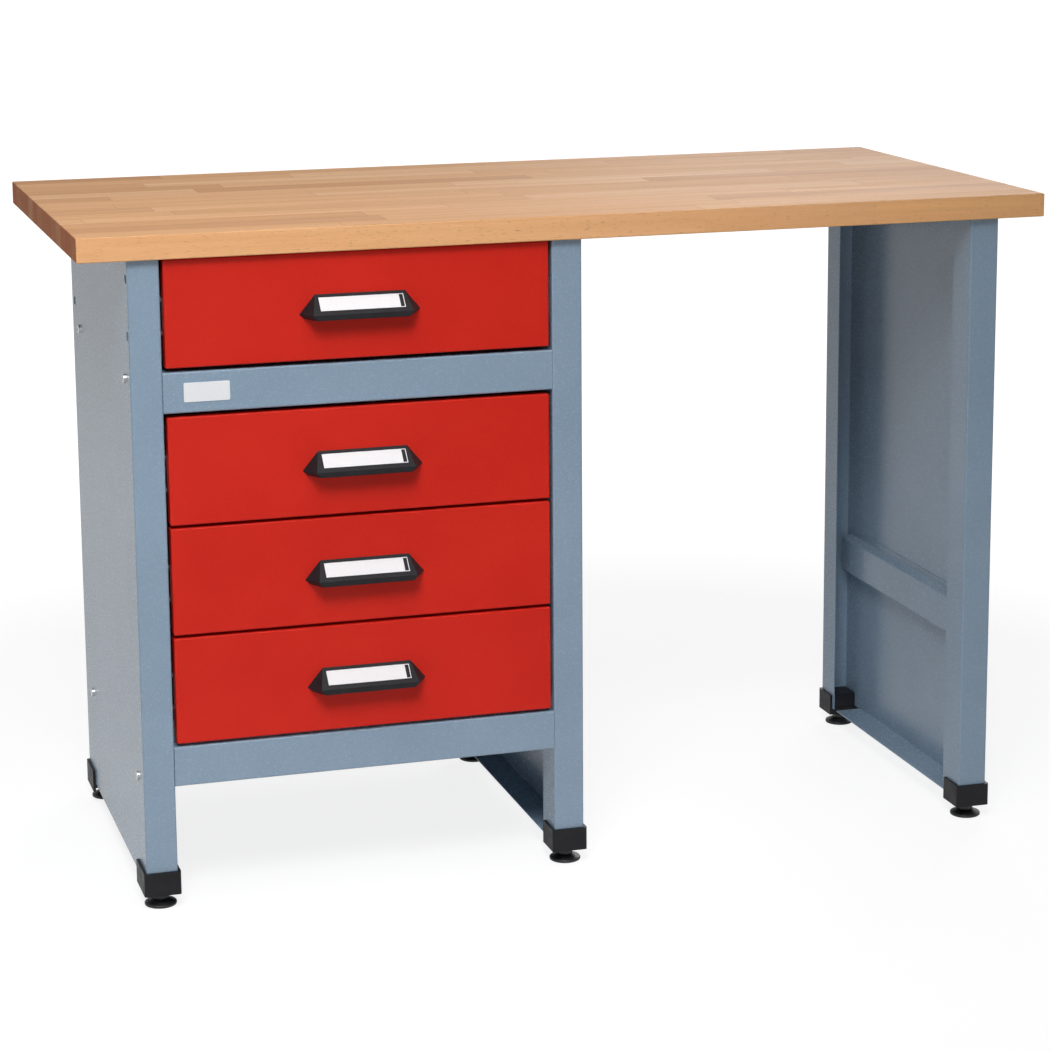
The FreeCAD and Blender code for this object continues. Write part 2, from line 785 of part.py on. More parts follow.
save("worktop", [worktop()])
for panel_name in panels:
    save(panel_name + "_side_panel", [side_panel(panel_name)])
    save(panel_name + "_panel_stiffener", [stiffener(panel_name)])
    for end_name in ("front", "rear"):
        save(panel_name + "_" + end_name + "_foot_cap", [foot_cap(panel_name, end_name)])
        save(panel_name + "_" + end_name + "_levelling_foot", [levelling_foot(panel_name, end_name)])
for level, bar_base, bolt_z in (
    ("upper", upper_bar_base, upper_bolt_z),
    ("lower", lower_bar_base, lower_bolt_z),
):
    save("front_" + level + "_crossbar", [front_crossbar(bar_base, bolt_z)])
    save("rear_" + level + "_crossbar", [rear_crossbar(bar_base, bolt_z)])
save("knee_space_rear_rail", [knee_space_rail()])
save("cabinet_back_panel", [back_panel()])
for row, (drawer_base, drawer_height) in drawers.items():
    outer_slides, middle_slides, inner_slides = slide_members(slide_middle(drawer_base, drawer_height))
    save(row + "_drawer_front", [drawer_front(drawer_base, drawer_height)])
    save(row + "_drawer_box", [drawer_box(drawer_base, drawer_height)])
    save(row + "_drawer_handle", [handle(drawer_base)])
    save(row + "_drawer_label_card", [label_card(drawer_base)])
    save(row + "_drawer_handle_screws", handle_screws(drawer_base))
    save(row + "_drawer_outer_slides", outer_slides)
    save(row + "_drawer_intermediate_slides", middle_slides)
    save(row + "_drawer_inner_slides", inner_slides)
save("crossbar_bolts", crossbar_bolts())
save("worktop_screws", worktop_screws())
save("slide_rivets", slide_rivets())
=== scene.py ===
"""Workbench with a glued beech top, a folded steel frame and four drawers, dressed for a studio picture."""
import json
import logging
import math
from collections.abc import Iterable
from dataclasses import dataclass
from enum import Enum

import bmesh
import bpy
from mathutils import Euler, Matrix, Vector


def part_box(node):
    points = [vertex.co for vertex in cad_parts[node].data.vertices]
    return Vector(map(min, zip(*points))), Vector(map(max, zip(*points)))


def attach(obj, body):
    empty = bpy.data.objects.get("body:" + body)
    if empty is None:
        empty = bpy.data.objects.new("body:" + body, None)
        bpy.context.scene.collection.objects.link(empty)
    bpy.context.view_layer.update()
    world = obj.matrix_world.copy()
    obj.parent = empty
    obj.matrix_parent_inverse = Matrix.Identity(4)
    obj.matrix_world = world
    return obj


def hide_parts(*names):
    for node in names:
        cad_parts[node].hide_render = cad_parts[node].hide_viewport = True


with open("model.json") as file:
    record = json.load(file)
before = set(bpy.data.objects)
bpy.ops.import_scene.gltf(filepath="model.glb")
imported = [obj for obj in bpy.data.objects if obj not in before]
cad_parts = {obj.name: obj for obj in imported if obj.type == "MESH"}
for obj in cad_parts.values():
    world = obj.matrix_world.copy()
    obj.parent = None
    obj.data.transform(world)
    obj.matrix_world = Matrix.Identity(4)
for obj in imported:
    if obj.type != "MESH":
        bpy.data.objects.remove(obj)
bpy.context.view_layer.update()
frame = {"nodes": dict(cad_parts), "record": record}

LOG = logging.getLogger("workbench")
# Distance under which two points of a mesh are one
MERGE = 0.00001
# Ratio of their areas up to which neighbouring faces are shaded as one
FLAT_SHARE = 15.0
# Angle in degrees under which neighbouring faces are shaded as one
SMOOTH_BELOW = 35.0
# Brightness of the white floor and backdrop where a mirror shows them
MIRRORED_SHARE = 0.55
# Least part of a normal along an axis for a face that looks that way
FACING_SHARE = 0.7
# Least part of an edge or a normal along an axis that it is parallel to
PARALLEL_SHARE = 0.99

Colour = tuple[float, float, float, float]
Point = tuple[float, float, float]
Range = tuple[float, float]
Socket = bpy.types.NodeSocket
Piece = bpy.types.Object


class Slot(Enum):
    """Material slots of the record."""

    WORKTOP = "worktop_wood"
    FRAME = "frame_paint"
    DRAWER = "drawer_paint"
    BOX = "drawer_box_paint"
    SLIDE = "slide_steel"
    FASTENER = "fastener_steel"
    FOOT = "foot_steel"
    PLASTIC = "black_plastic"
    CARD = "label_card"


class Row(Enum):
    """Drawers from top to bottom."""

    TOP = "top"
    SECOND = "second"
    THIRD = "third"
    BOTTOM = "bottom"


class Panel(Enum):
    """Side panels from left to right."""

    LEFT = "left"
    MIDDLE = "middle"
    RIGHT = "right"


class End(Enum):
    """Ends of a side panel."""

    FRONT = "front"
    REAR = "rear"


def shade(red: float, green: float, blue: float) -> Colour:
    """Opaque colour from linear red, green and blue."""
    return (red, green, blue, 1.0)


@dataclass(frozen=True)
class Waves:
    """Soft noise, by its waves in a metre along X, Y and Z and its number of finer layers."""

    scale: Point
    layers: float


def even(scale: float, layers: float) -> Waves:
    """Noise with the same waves along every axis."""
    return Waves((scale, scale, scale), layers)


class Tree:
    """Node tree of a material or of the world."""

    def __init__(self, tree: bpy.types.NodeTree) -> None:
        """Take over a tree.

        Args:
            tree: Tree that new nodes go into.
        """
        self.nodes = tree.nodes
        self.links = tree.links

    def feed(self, node: bpy.types.Node, inputs: dict[str | int, object]) -> None:
        """Link sockets to a node's inputs and set its other inputs.

        Args:
            node: Node that takes the inputs.
            inputs: Socket or plain value for each input.
        """
        for key, value in inputs.items():
            if isinstance(value, Socket):
                self.links.new(value, node.inputs[key])
            else:
                node.inputs[key].default_value = value

    def add(self, kind: str, inputs: dict[str | int, object], **options: object) -> bpy.types.Node:
        """Add a node.

        Args:
            kind: Type of the node without its common prefix.
            inputs: Socket or plain value for each input.
            **options: Properties of the node.

        Returns:
            The new node.
        """
        node = self.nodes.new("ShaderNode" + kind)
        for name, value in options.items():
            setattr(node, name, value)
        self.feed(node, inputs)
        return node

    def math(self, operation: str, first: object, second: object = 0.0) -> Socket:
        """Calculate with one or two values.

        Args:
            operation: Name of the calculation.
            first: Left value.
            second: Right value, where the calculation has one.

        Returns:
            The result.
        """
        return self.add("Math", {0: first, 1: second}, operation=operation).outputs[0]

    def span(self, value: Socket, low: float, high: float, start: float = 0.3, stop: float = 0.7) -> Socket:
        """Value moved from one range to another and held at its ends.

        Args:
            value: Value to move.
            low: Result at the start.
            high: Result at the stop.
            start: Value that gives the low result.
            stop: Value that gives the high result.

        Returns:
            The moved value.
        """
        inputs = {"Value": value, "From Min": start, "From Max": stop, "To Min": low, "To Max": high}
        return self.add("MapRange", inputs).outputs[0]

    def seen_directly(self) -> Socket:
        """Mask that is one to the camera, less in a mirror or through glass, and zero to other light.

        Returns:
            The mask.
        """
        path = self.add("LightPath", {}).outputs
        mirrored = self.math("MAXIMUM", path["Is Glossy Ray"], path["Is Transmission Ray"])
        return self.math("MAXIMUM", path["Is Camera Ray"], self.math("MULTIPLY", mirrored, MIRRORED_SHARE))


class Recipe(Tree):
    """Node tree of one material."""

    def __init__(self, name: str) -> None:
        """Start a material with its surface shader.

        Args:
            name: Name of the material.
        """
        self.material = bpy.data.materials.new(name)
        self.material.use_nodes = True
        super().__init__(self.material.node_tree)
        self.shader = self.nodes["Principled BSDF"]
        self.output = self.nodes["Material Output"]

    def place(self) -> Socket:
        """Point of the surface in the frame of its piece."""
        return self.add("TexCoord", {}).outputs["Object"]

    def noise(self, spot: Socket, waves: Waves) -> Socket:
        """Soft noise between about 0.2 and 0.8.

        Args:
            spot: Point that the noise is read at.
            waves: Waves of the noise.

        Returns:
            The noise.
        """
        scaled = self.add("Mapping", {"Vector": spot, "Scale": waves.scale}).outputs[0]
        inputs = {"Vector": scaled, "Scale": 1.0, "Detail": waves.layers}
        return self.add("TexNoise", inputs).outputs["Fac"]

    def ramp(self, value: Socket, stops: tuple[tuple[float, Colour], ...]) -> Socket:
        """Colour read from a row of stops.

        Args:
            value: Place on the row, from 0 to 1.
            stops: Place and colour of each stop.

        Returns:
            The colour.
        """
        node = self.add("ValToRGB", {"Fac": value})
        elements = node.color_ramp.elements
        for _ in stops[len(elements):]:
            elements.new(1.0)
        for element, (spot, colour) in zip(elements, stops):
            element.position = spot
            element.color = colour
        return node.outputs["Color"]

    def fade(self, value: Socket, reach: Range, first: Colour, second: Colour) -> Socket:
        """Colour that goes from one tone to another over a range of a value.

        Args:
            value: Value that sets the tone.
            reach: Values at which the first tone ends and the second is reached.
            first: Tone below the range.
            second: Tone above the range.

        Returns:
            The colour.
        """
        return self.ramp(value, tuple(zip(reach, (first, second))))

    def mix(self, share: Socket, first: object, second: object) -> Socket:
        """Blend of two colours.

        Args:
            share: Share of the second colour.
            first: Colour at a share of 0.
            second: Colour at a share of 1.

        Returns:
            The blended colour.
        """
        inputs = {0: share, 6: first, 7: second}
        return self.add("Mix", inputs, data_type="RGBA").outputs[2]

    def relief(self, height: Socket, depth: float) -> None:
        """Raise the surface by a height from 0 to 1.

        Args:
            height: Height of the surface.
            depth: Real depth of the relief.
        """
        bump = self.add("Bump", {"Height": height, "Strength": 1.0, "Distance": depth})
        self.feed(self.shader, {"Normal": bump.outputs[0]})


@dataclass(frozen=True)
class GluedBeech:
    """Oiled beech board glued from long staves, with end grain at its ends and a lighter front edge that is
    partly one clear stave and partly painted light.
    """

    stave_width: float = 0.0432
    stave_length: float = 0.46
    tones: tuple[Colour, ...] = (
        shade(0.63, 0.330, 0.17), shade(0.77, 0.43, 0.22), shade(0.84, 0.49, 0.26), shade(0.88, 0.55, 0.32),
    )
    streak: Waves = Waves((2.2, 95.0, 95.0), 5.0)
    streak_tone: Colour = shade(0.50, 0.25, 0.115)
    streak_share: float = 0.34
    fibre: Waves = Waves((30.0, 900.0, 900.0), 3.0)
    fibre_tone: Colour = shade(0.40, 0.20, 0.095)
    fibre_share: float = 0.14
    fibre_depth: float = 0.00006
    fleck: Waves = Waves((110.0, 1100.0, 1100.0), 1.0)
    fleck_tone: Colour = shade(0.27, 0.13, 0.065)
    fleck_share: float = 0.45
    fleck_range: Range = (0.64, 0.74)
    # Tones of the front edge: partly a clear stave, partly painted light; the second stave is painted
    # lighter to make up for the weaker light at the right end.
    front_stave_and_painted_light: Colour = shade(0.89, 0.49, 0.24)
    front_streak_and_painted_light: Colour = shade(0.82, 0.43, 0.195)
    second_stave_and_painted_light: Colour = shade(0.95, 0.52, 0.225)
    front_joint: float = 0.39
    end_grain: Colour = shade(0.50, 0.158, 0.060)
    end_ring: Colour = shade(0.34, 0.105, 0.042)
    ring_scale: float = 70.0
    ring_waviness: float = 3.0
    ring_layers: float = 2.0
    ring_share: float = 0.5
    end_stave_share: float = 0.35
    glue: Colour = shade(0.28, 0.14, 0.07)
    glue_line: float = 0.0003
    glue_share: float = 0.5
    roughness_range: Range = (0.49, 0.63)
    specular: float = 0.05

    def material(self) -> bpy.types.Material:
        """Make the material of the board, read along X as the run of its staves.

        Returns:
            The material.
        """
        recipe = Recipe("glued_beech")
        spot = recipe.place()
        axes = recipe.add("SeparateXYZ", {0: spot}).outputs
        normal = recipe.add("SeparateXYZ", {0: recipe.add("NewGeometry", {}).outputs["Normal"]}).outputs
        across = recipe.math("DIVIDE", axes["Y"], self.stave_width)
        row = recipe.math("FLOOR", across)
        shift = recipe.add("TexWhiteNoise", {"W": row}, noise_dimensions="1D").outputs["Value"]
        lengthwise = recipe.math("ADD", recipe.math("DIVIDE", axes["X"], self.stave_length), shift)
        stave = recipe.add("CombineXYZ", {0: row, 1: recipe.math("FLOOR", lengthwise)}).outputs[0]
        chance = recipe.add("TexWhiteNoise", {"Vector": stave}, noise_dimensions="2D").outputs
        moved = recipe.add("VectorMath", {0: spot, 1: chance["Color"]}, operation="ADD").outputs[0]
        streak = recipe.noise(moved, self.streak)
        fibre = recipe.noise(moved, self.fibre)
        fleck = recipe.noise(moved, self.fleck)

        # Each stave has its own tone. The front edge, picked by the way it faces, gets a lighter tone that
        # is partly one clear stave with a joint and partly painted light, and past the joint it is painted
        # lighter still where less lamp light reaches it.
        steps = len(self.tones) - 1
        stops = tuple((index / steps, tone) for index, tone in enumerate(self.tones))
        colour = recipe.ramp(chance["Value"], stops)
        colour = recipe.mix(recipe.span(streak, 0.0, self.streak_share), colour, self.streak_tone)
        past_joint = recipe.math("GREATER_THAN", axes["X"], self.front_joint)
        clear = recipe.mix(past_joint, self.front_stave_and_painted_light, self.second_stave_and_painted_light)
        clear = recipe.mix(recipe.span(streak, 0.0, 1.0), clear, self.front_streak_and_painted_light)
        is_front = recipe.math("LESS_THAN", normal["Y"], -FACING_SHARE)
        colour = recipe.mix(is_front, colour, clear)
        colour = recipe.mix(recipe.span(fibre, 0.0, self.fibre_share), colour, self.fibre_tone)
        flecked = recipe.span(fleck, 0.0, self.fleck_share, *self.fleck_range)
        colour = recipe.mix(flecked, colour, self.fleck_tone)

        # The ends show growth rings, tinted by the tone of their stave.
        rings = recipe.add(
            "TexWave",
            {
                "Vector": moved, "Scale": self.ring_scale,
                "Distortion": self.ring_waviness, "Detail": self.ring_layers,
            },
            wave_type="RINGS", rings_direction="X",
        ).outputs["Fac"]
        ringed = recipe.span(rings, 0.0, self.ring_share, 0.0, 1.0)
        end_tone = recipe.mix(ringed, self.end_grain, self.end_ring)
        tinted = recipe.span(chance["Value"], 0.0, self.end_stave_share, 0.0, 1.0)
        end_tone = recipe.mix(tinted, end_tone, colour)
        is_end = recipe.math("GREATER_THAN", recipe.math("ABSOLUTE", normal["X"]), FACING_SHARE)
        colour = recipe.mix(is_end, colour, end_tone)

        # Thin glue lines run round each stave, but not over the front and back edges.
        sides = recipe.math("LESS_THAN", recipe.math("ABSOLUTE", normal["Y"]), FACING_SHARE)
        for run, length in ((across, self.stave_width), (lengthwise, self.stave_length)):
            share = self.glue_line / length
            line = recipe.span(recipe.math("PINGPONG", run, 0.5), self.glue_share, 0.0, share, 2 * share)
            colour = recipe.mix(recipe.math("MULTIPLY", line, sides), colour, self.glue)

        recipe.feed(recipe.shader, {
            "Base Color": colour,
            "Roughness": recipe.span(streak, *self.roughness_range),
            "Specular IOR Level": self.specular,
        })
        recipe.relief(fibre, self.fibre_depth)
        return recipe.material


@dataclass(frozen=True)
class PowderCoat:
    """Satin powder coat with a fine orange-peel surface and a faint cloudiness."""

    name: str
    colour: Colour
    deep: Colour
    roughness_range: Range = (0.30, 0.42)
    specular: float = 0.22
    cloud: Waves = even(9.0, 4.0)
    cloud_share: float = 0.6
    grain: Waves = even(420.0, 2.0)
    tone_range: Range = (0.36, 0.64)
    peel: Waves = even(900.0, 1.0)
    peel_depth: float = 0.00012

    def material(self) -> bpy.types.Material:
        """Make the material of the coat.

        Returns:
            The material.
        """
        recipe = Recipe(self.name)
        spot = recipe.place()
        cloud = recipe.noise(spot, self.cloud)
        grain = recipe.noise(spot, self.grain)
        clouded = recipe.math("MULTIPLY", cloud, self.cloud_share)
        tone = recipe.math("ADD", clouded, recipe.math("MULTIPLY", grain, 1.0 - self.cloud_share))
        recipe.feed(recipe.shader, {
            "Base Color": recipe.fade(tone, self.tone_range, self.deep, self.colour),
            "Roughness": recipe.span(grain, *self.roughness_range),
            "Specular IOR Level": self.specular,
        })
        recipe.relief(recipe.noise(spot, self.peel), self.peel_depth)
        return recipe.material


@dataclass(frozen=True)
class GrainedPlastic:
    """Moulded plastic with an eroded fine grain."""

    name: str
    colour: Colour
    worn: Colour
    roughness_range: Range = (0.38, 0.56)
    specular: float = 0.2
    grain: Waves = even(1500.0, 2.0)
    grain_depth: float = 0.00008
    haze: Waves = even(60.0, 3.0)
    tone_range: Range = (0.3, 0.75)

    def material(self) -> bpy.types.Material:
        """Make the material of the plastic.

        Returns:
            The material.
        """
        recipe = Recipe(self.name)
        spot = recipe.place()
        haze = recipe.noise(spot, self.haze)
        recipe.feed(recipe.shader, {
            "Base Color": recipe.fade(haze, self.tone_range, self.colour, self.worn),
            "Roughness": recipe.span(haze, *self.roughness_range),
            "Specular IOR Level": self.specular,
        })
        recipe.relief(recipe.noise(spot, self.grain), self.grain_depth)
        return recipe.material


@dataclass(frozen=True)
class PlatedSteel:
    """Steel with a plated or blackened skin and fine lines."""

    name: str
    colour: Colour
    dull: Colour
    metallic: float
    roughness_range: Range
    lines: Waves
    line_depth: float = 0.00002
    bloom: Waves = even(45.0, 4.0)
    tone_range: Range = (0.32, 0.68)

    def material(self) -> bpy.types.Material:
        """Make the material of the steel.

        Returns:
            The material.
        """
        recipe = Recipe(self.name)
        spot = recipe.place()
        bloom = recipe.noise(spot, self.bloom)
        lines = recipe.noise(spot, self.lines)
        recipe.feed(recipe.shader, {
            "Base Color": recipe.fade(bloom, self.tone_range, self.dull, self.colour),
            "Metallic": self.metallic,
            "Roughness": recipe.span(lines, *self.roughness_range),
        })
        recipe.relief(lines, self.line_depth)
        return recipe.material


@dataclass(frozen=True)
class Card:
    """White card with a faint fibre and a smooth clear film over it."""

    name: str
    colour: Colour = shade(0.82, 0.83, 0.845)
    fibre_colour: Colour = shade(0.765, 0.775, 0.79)
    fibre: Waves = Waves((500.0, 1600.0, 1600.0), 3.0)
    fibre_depth: float = 0.00003
    tone_range: Range = (0.3, 0.6)
    roughness_range: Range = (0.5, 0.62)
    film: float = 0.15
    film_roughness: float = 0.2

    def material(self) -> bpy.types.Material:
        """Make the material of the card.

        Returns:
            The material.
        """
        recipe = Recipe(self.name)
        fibre = recipe.noise(recipe.place(), self.fibre)
        recipe.feed(recipe.shader, {
            "Base Color": recipe.fade(fibre, self.tone_range, self.fibre_colour, self.colour),
            "Roughness": recipe.span(fibre, *self.roughness_range),
            "Coat Weight": self.film,
            "Coat Roughness": self.film_roughness,
        })
        recipe.relief(fibre, self.fibre_depth)
        return recipe.material


@dataclass(frozen=True)
class WhiteFloor:
    """Pale floor that fades into a white backdrop and keeps a soft shadow."""

    colour: Colour = shade(0.86, 0.86, 0.86)
    dull: Colour = shade(0.84, 0.84, 0.84)
    grain: Waves = even(30.0, 3.0)
    tone_range: Range = (0.2, 0.8)
    roughness: float = 0.9
    glow: float = 1.13
    glow_share: float = 0.74
    shadow_reach: float = 1.1
    fade_reach: float = 2.2

    def material(self) -> bpy.types.Material:
        """Make the material of the floor.

        Returns:
            The material.
        """
        recipe = Recipe("white_floor")
        spot = recipe.place()
        grain = recipe.noise(spot, self.grain)
        recipe.feed(recipe.shader, {
            "Base Color": recipe.fade(grain, self.tone_range, self.dull, self.colour),
            "Roughness": self.roughness,
            "Specular IOR Level": 0.0,
        })
        glow = recipe.add("Emission", {"Color": shade(1.0, 1.0, 1.0), "Strength": self.glow})
        reach = recipe.add("VectorMath", {0: spot}, operation="LENGTH").outputs["Value"]
        fade = recipe.span(reach, self.glow_share, 1.0, self.shadow_reach, self.fade_reach)
        share = recipe.math("MULTIPLY", recipe.seen_directly(), fade)
        blend = recipe.add("MixShader", {0: share, 1: recipe.shader.outputs[0], 2: glow.outputs[0]})
        recipe.feed(recipe.output, {"Surface": blend.outputs[0]})
        return recipe.material


class Palette:
    """Every finish of the bench, by material slot."""

    def __init__(self) -> None:
        """Make each slot's material once."""
        blue_grey = shade(0.252, 0.345, 0.448)
        blue_grey_deep = shade(0.224, 0.312, 0.410)
        finishes = {
            Slot.WORKTOP: GluedBeech(),
            Slot.FRAME: PowderCoat(
                "frame_powder_coat", blue_grey, blue_grey_deep,
                roughness_range=(0.18, 0.30), specular=0.5, peel_depth=0.00006,
            ),
            Slot.DRAWER: PowderCoat(
                "drawer_powder_coat", shade(0.65, 0.0225, 0.0115), shade(0.59, 0.0175, 0.0090),
                specular=0.15,
            ),
            Slot.BOX: PowderCoat(
                "drawer_box_coat", blue_grey, blue_grey_deep, roughness_range=(0.44, 0.56),
            ),
            Slot.SLIDE: PlatedSteel(
                "slide_zinc", shade(0.66, 0.67, 0.69), shade(0.52, 0.53, 0.56),
                metallic=1.0, roughness_range=(0.22, 0.42), lines=Waves((700.0, 6.0, 700.0), 3.0),
            ),
            Slot.FASTENER: PlatedSteel(
                "fastener_zinc", shade(0.70, 0.70, 0.70), shade(0.58, 0.58, 0.57),
                metallic=1.0, roughness_range=(0.20, 0.40), lines=even(300.0, 3.0),
            ),
            Slot.FOOT: PlatedSteel(
                "foot_black_steel", shade(0.035, 0.035, 0.038), shade(0.022, 0.022, 0.024),
                metallic=0.35, roughness_range=(0.32, 0.52), lines=Waves((200.0, 200.0, 1400.0), 3.0),
            ),
            Slot.PLASTIC: GrainedPlastic(
                "black_plastic", shade(0.011, 0.011, 0.013), shade(0.017, 0.017, 0.020),
            ),
            Slot.CARD: Card("label_paper"),
        }
        self.materials = {slot: finish.material() for slot, finish in finishes.items()}

    def dress(self, piece: Piece, slot: Slot) -> None:
        """Give a new piece the finish of a slot.

        Args:
            piece: New piece.
            slot: Slot that it takes its finish from.
        """
        piece.data.materials.append(self.materials[slot])

    def dress_nodes(self) -> None:
        """Give every node of the frame the finish of its slot."""
        for part in frame["record"]["subparts"]:
            node = frame["nodes"][part["node"]]
            for material_slot in node.material_slots:
                material_slot.material = self.materials[Slot(part["material_slot"])]
            LOG.info("dressed %s", part["node"])


def make_piece(name: str, mesh: bmesh.types.BMesh, body: str) -> Piece:
    """Turn a finished bmesh into a piece that rides on a body.

    Args:
        name: Name of the piece.
        mesh: Its shape, in place.
        body: Body that carries it.

    Returns:
        The piece.
    """
    for edge in mesh.edges:
        sizes = sorted(face.calc_area() for face in edge.link_faces)
        alike = len(sizes) == 2 and sizes[1] < FLAT_SHARE * sizes[0]
        edge.smooth = alike and edge.calc_face_angle(math.pi) < math.radians(SMOOTH_BELOW)
    for face in mesh.faces:
        face.smooth = True
    data = bpy.data.meshes.new(name)
    mesh.to_mesh(data)
    mesh.free()
    piece = bpy.data.objects.new(name, data)
    bpy.context.scene.collection.objects.link(piece)
    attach(piece, body)
    LOG.info("built %s on %s", name, body)
    return piece


def ease(
    mesh: bmesh.types.BMesh, edges: Iterable[bmesh.types.BMEdge], radius: float, segments: int,
) -> None:
    """Round edges of a mesh.

    Args:
        mesh: Mesh to work on.
        edges: Edges to round.
        radius: Radius of the rounding.
        segments: Steps round each edge.
    """
    bmesh.ops.bevel(
        mesh, geom=list(edges), affect="EDGES", offset=radius, offset_type="OFFSET",
        segments=segments, profile=0.5, material=-1, clamp_overlap=True,
    )


def plate(width: float, depth: float, height: float) -> bmesh.types.BMesh:
    """Block round the origin.

    Args:
        width: Size along X.
        depth: Size along Y.
        height: Size along Z.

    Returns:
        Its mesh.
    """
    mesh = bmesh.new()
    bmesh.ops.create_cube(mesh, size=1.0)
    bmesh.ops.scale(mesh, vec=(width, depth, height), verts=mesh.verts)
    return mesh


def along(axis: int, edge: bmesh.types.BMEdge) -> bool:
    """Whether an edge runs along one axis."""
    run = (edge.verts[0].co - edge.verts[1].co).normalized()
    return abs(run[axis]) > PARALLEL_SHARE


@dataclass
class FootCap:
    """Moulded shoe under a leg end, with rounded corners and eased rims."""

    panel: Panel
    end: End
    corner_radius: float = 0.0030
    corner_steps: int = 4
    rim_radius: float = 0.0007
    rim_steps: int = 2
    rim_angle: float = 50.0
    shortest_rim: float = 0.006
    flat_angle: float = 1.0

    @property
    def node(self) -> str:
        """Name of the shoe's node."""
        return f"{self.panel.value}_{self.end.value}_foot_cap"

    def build(self, palette: Palette) -> None:
        """Model the shoe from its solid.

        Args:
            palette: Finishes of the bench.
        """
        mesh = bmesh.new()
        mesh.from_mesh(frame["nodes"][self.node].data)
        bmesh.ops.remove_doubles(mesh, verts=mesh.verts, dist=MERGE)
        flat = math.radians(self.flat_angle)
        bmesh.ops.dissolve_limit(mesh, angle_limit=flat, verts=mesh.verts, edges=mesh.edges)
        low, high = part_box(self.node)
        end_y = low.y if self.end is End.FRONT else high.y
        corners = [
            edge for edge in mesh.edges
            if along(2, edge) and all(abs(vert.co.y - end_y) < MERGE for vert in edge.verts)
        ]
        ease(mesh, corners, self.corner_radius, self.corner_steps)
        rims = [
            edge for edge in mesh.edges
            if edge.is_convex and edge.calc_length() > self.shortest_rim
            and edge.calc_face_angle(0.0) > math.radians(self.rim_angle)
        ]
        ease(mesh, rims, self.rim_radius, self.rim_steps)
        piece = make_piece(f"{self.panel.value}_{self.end.value}_shoe", mesh, "bench_frame")
        palette.dress(piece, Slot.PLASTIC)
        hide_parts(self.node)


